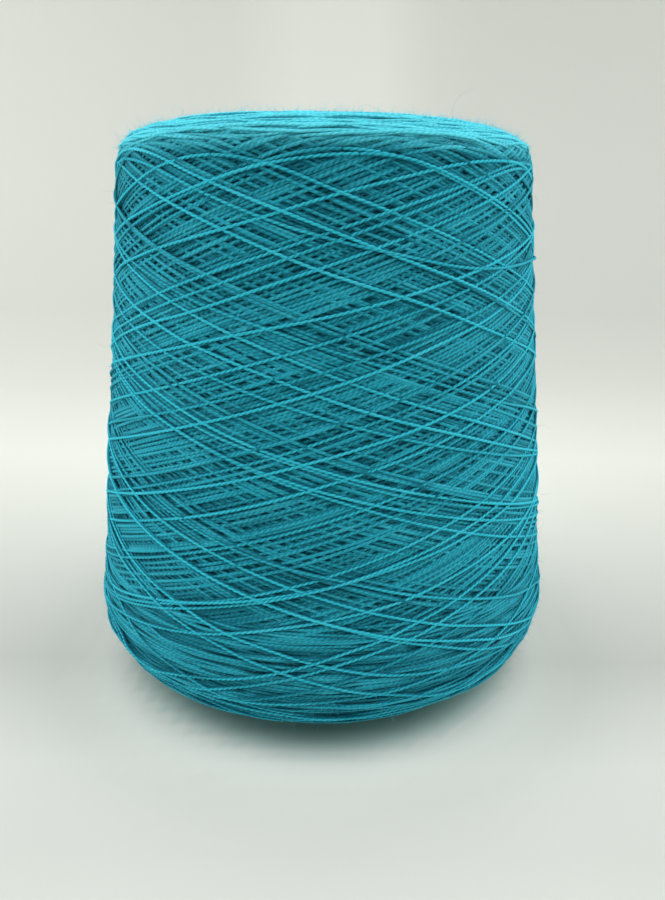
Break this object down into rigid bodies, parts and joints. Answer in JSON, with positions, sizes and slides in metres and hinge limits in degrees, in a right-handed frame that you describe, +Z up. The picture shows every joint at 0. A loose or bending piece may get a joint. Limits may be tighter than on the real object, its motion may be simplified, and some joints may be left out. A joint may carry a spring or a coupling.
{
  "type": "yarn cone",
  "caption": "Cone of cross-wound two-ply knitting yarn on a tapered paper tube, standing on the tube's foot.",
  "frame": {"origin": "centre of the tube's foot, on the surface that the cone stands on", "axes": "+Z up along the tube's axis; +X through the thread notch in the foot"},
  "size_m": [0.1467, 0.147, 0.17],
  "materials": {
    "paper": "matte",
    "yarn": "matte"
  },
  "bodies": {
    "root": {"cone_tube": "paper", "yarn_package": "yarn", "outer_courses": "yarn"}
  },
  "joints": []
}
